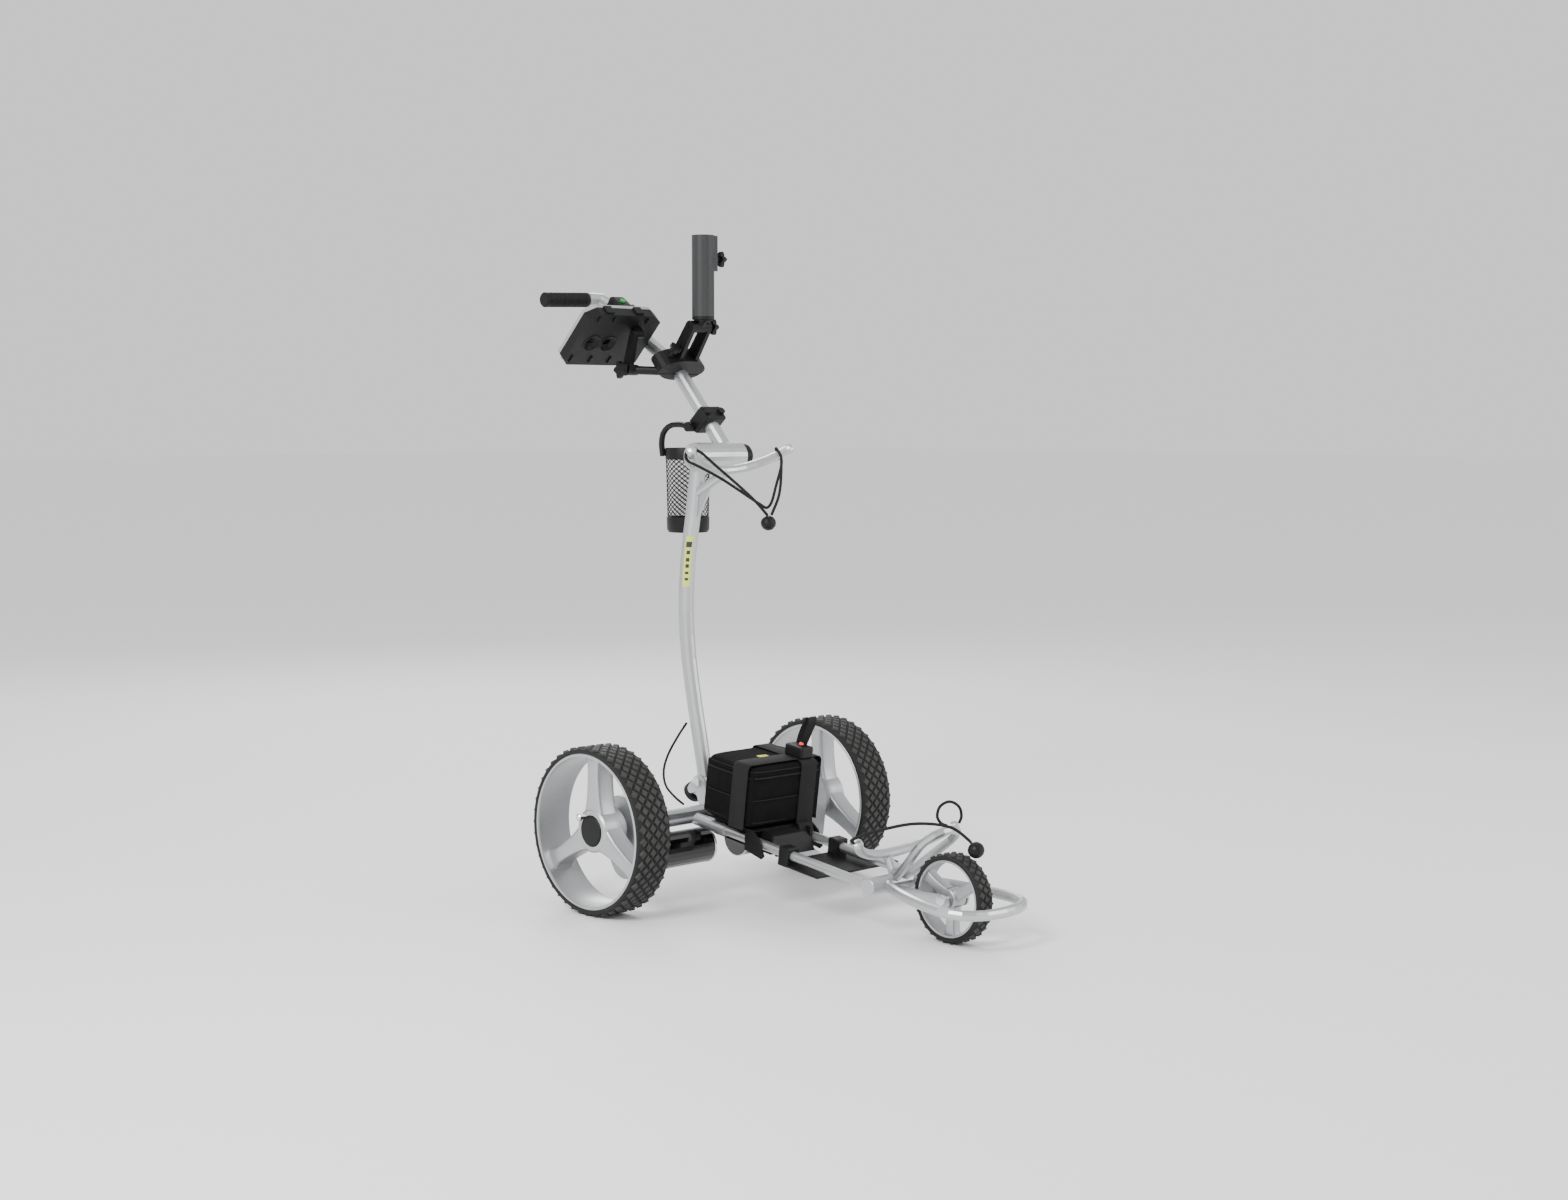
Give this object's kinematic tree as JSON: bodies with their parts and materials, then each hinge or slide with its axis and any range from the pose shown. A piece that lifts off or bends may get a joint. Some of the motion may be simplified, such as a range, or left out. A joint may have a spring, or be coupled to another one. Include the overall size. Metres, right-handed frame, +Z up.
{
  "type": "electric golf trolley",
  "caption": "Three-wheeled electric golf trolley with a folding upright, offset handle, bag cradles, strapped battery bag, score console, umbrella and cup holders.",
  "frame": {"origin": "on the ground under the middle of the box of the rigid pieces", "axes": "+X is the direction of travel, +Y is the left side, +Z is up"},
  "size_m": [1.1012, 0.6116, 1.181],
  "materials": {
    "silver_tube": "satin",
    "cast_silver": "satin cast",
    "bright_steel": "bright",
    "motor_black": "gloss black paint",
    "tyre_rubber": "matt",
    "black_plastic": "fine matt grain",
    "grey_plastic": "satin",
    "grip_rubber": "matt",
    "bag_cloth": "woven nylon",
    "webbing": "woven webbing",
    "green_plastic": "gloss"
  },
  "bodies": {
    "chassis": {"axle_beam": "silver_tube", "rail_left": "silver_tube", "rail_right": "silver_tube", "front_frame": "silver_tube", "lower_cradle": "silver_tube", "front_axle_bolt": "bright_steel", "pivot_bolt": "bright_steel", "gearbox_housing_left": "cast_silver", "gearbox_housing_right": "cast_silver", "motor_can_left": "motor_black", "motor_can_right": "motor_black", "battery_bag": "bag_cloth", "battery_bag_lid": "bag_cloth", "battery": "grey_plastic", "battery_strap": "webbing", "battery_connector": "black_plastic", "battery_tray": "black_plastic", "cross_plate": "black_plastic", "control_cable": "grip_rubber", "lower_bungee": "grip_rubber", "lower_bungee_loop": "grip_rubber", "lower_bungee_ball": "black_plastic"},
    "rear_wheel_left": {"rear_tyre_left": "tyre_rubber", "rear_rim_left": "cast_silver", "hub_cap_left": "black_plastic", "axle_shaft_left": "bright_steel"},
    "rear_wheel_right": {"rear_tyre_right": "tyre_rubber", "rear_rim_right": "cast_silver", "hub_cap_right": "black_plastic", "axle_shaft_right": "bright_steel"},
    "rotor_left": {"motor_rotor_left": "bright_steel"},
    "rotor_right": {"motor_rotor_right": "bright_steel"},
    "front_wheel": {"front_tyre": "tyre_rubber", "front_rim": "cast_silver"},
    "upright": {"upright_tube": "silver_tube", "upper_cradle": "silver_tube", "hinge_bolt": "bright_steel", "upper_bungee": "grip_rubber", "upper_bungee_ball": "black_plastic"},
    "lower_lock_knob": {"lower_lock_knob": "black_plastic"},
    "handle": {"handle_tube": "silver_tube", "handle_grip": "grip_rubber", "control_pod": "black_plastic", "clamp_front_half": "black_plastic", "clamp_rear_half": "black_plastic", "cup_clamp": "black_plastic"},
    "hinge_knob": {"hinge_knob": "black_plastic"},
    "clamp_knob": {"clamp_knob": "black_plastic"},
    "console_link": {"console_link": "black_plastic"},
    "console_knob": {"console_knob": "black_plastic"},
    "console": {"console_tray": "black_plastic"},
    "console_lid": {"console_lid": "grey_plastic"},
    "umbrella": {"umbrella_foot": "black_plastic", "umbrella_tube": "grey_plastic"},
    "umbrella_knob": {"umbrella_knob": "black_plastic"},
    "umbrella_tilt_knob": {"umbrella_tilt_knob": "black_plastic"},
    "cup": {"cup_arm": "black_plastic", "cup": "black_plastic"},
    "speed_dial": {"speed_dial": "grey_plastic"},
    "power_button": {"power_button": "green_plastic"}
  },
  "joints": [
    {"name": "rear_wheel_left_spin", "type": "hinge", "parent": "chassis", "child": "rear_wheel_left", "pos_m": [-0.1329, 0.27, 0.146], "axis": [0, 1, 0], "continuous": true},
    {"name": "rotor_left_spin", "type": "hinge", "parent": "chassis", "child": "rotor_left", "pos_m": [-0.12291, 0.12, 0.092], "axis": [0, 1, 0], "continuous": true},
    {"name": "rear_wheel_right_spin", "type": "hinge", "parent": "chassis", "child": "rear_wheel_right", "pos_m": [-0.1329, -0.27, 0.146], "axis": [0, 1, 0], "continuous": true},
    {"name": "rotor_right_spin", "type": "hinge", "parent": "chassis", "child": "rotor_right", "pos_m": [-0.12291, -0.12, 0.092], "axis": [0, 1, 0], "continuous": true},
    {"name": "front_wheel_spin", "type": "hinge", "parent": "chassis", "child": "front_wheel", "pos_m": [0.4346, 0, 0.074], "axis": [0, 1, 0], "continuous": true},
    {"name": "upright_fold", "type": "hinge", "parent": "chassis", "child": "upright", "pos_m": [-0.1619, 0, 0.196], "axis": [0, 1, 0], "range_deg": [0, 45], "deforming": ["control_cable"]},
    {"name": "lower_lock_knob_turn", "type": "hinge", "parent": "chassis", "child": "lower_lock_knob", "pos_m": [-0.1619, 0, 0.196], "axis": [-0.8191, 0, -0.5736], "continuous": true},
    {"name": "handle_fold", "type": "hinge", "parent": "upright", "child": "handle", "pos_m": [-0.17491, 0.057, 0.781], "axis": [0, 1, 0], "range_deg": [0, 100]},
    {"name": "hinge_knob_turn", "type": "hinge", "parent": "upright", "child": "hinge_knob", "pos_m": [-0.17491, 0.1, 0.781], "axis": [0, 1, 0], "continuous": true},
    {"name": "clamp_knob_turn", "type": "hinge", "parent": "handle", "child": "clamp_knob", "pos_m": [-0.31681, 0.034, 0.9434], "axis": [0.7507, 0, 0.6606], "continuous": true},
    {"name": "console_link_swing", "type": "hinge", "parent": "handle", "child": "console_link", "pos_m": [-0.3649, -0.008, 0.938], "axis": [0, 1, 0], "range_deg": [-10, 10]},
    {"name": "console_knob_turn", "type": "hinge", "parent": "handle", "child": "console_knob", "pos_m": [-0.3649, -0.02, 0.938], "axis": [0, -1, 0], "continuous": true},
    {"name": "console_tilt", "type": "hinge", "parent": "console_link", "child": "console", "pos_m": [-0.34591, 0, 1.003], "axis": [0, 1, 0], "range_deg": [-20, 20]},
    {"name": "console_lid_open", "type": "hinge", "parent": "console", "child": "console_lid", "pos_m": [-0.43756, -0.033, 0.96045], "axis": [0, -1, 0], "range_deg": [0, 70]},
    {"name": "umbrella_tilt", "type": "hinge", "parent": "handle", "child": "umbrella", "pos_m": [-0.2549, 0.07, 1.016], "axis": [0, 1, 0], "range_deg": [-30, 30]},
    {"name": "umbrella_tilt_knob_turn", "type": "hinge", "parent": "handle", "child": "umbrella_tilt_knob", "pos_m": [-0.2549, 0.1, 1.016], "axis": [0, 1, 0], "continuous": true},
    {"name": "umbrella_knob_turn", "type": "hinge", "parent": "umbrella", "child": "umbrella_knob", "pos_m": [-0.24291, 0.1, 1.139], "axis": [0, 1, 0], "continuous": true},
    {"name": "cup_swing", "type": "hinge", "parent": "handle", "child": "cup", "pos_m": [-0.24591, 0.045, 0.834], "axis": [0, 1, 0], "range_deg": [-10, 35]},
    {"name": "speed_dial_turn", "type": "hinge", "parent": "handle", "child": "speed_dial", "pos_m": [-0.44635, 0.07, 1.05443], "axis": [0, 1, 0], "range_deg": [-135, 135]},
    {"name": "power_button_press", "type": "slide", "parent": "handle", "child": "power_button", "axis": [-0.5586, 0, -0.8294], "range_m": [0, 0.0025], "stiffness_N_per_m": 300}
  ],
  "couplings": [
    {"joint": "rotor_left_spin", "follows": "rear_wheel_left_spin", "ratio": -5},
    {"joint": "rotor_right_spin", "follows": "rear_wheel_right_spin", "ratio": -5}
  ]
}
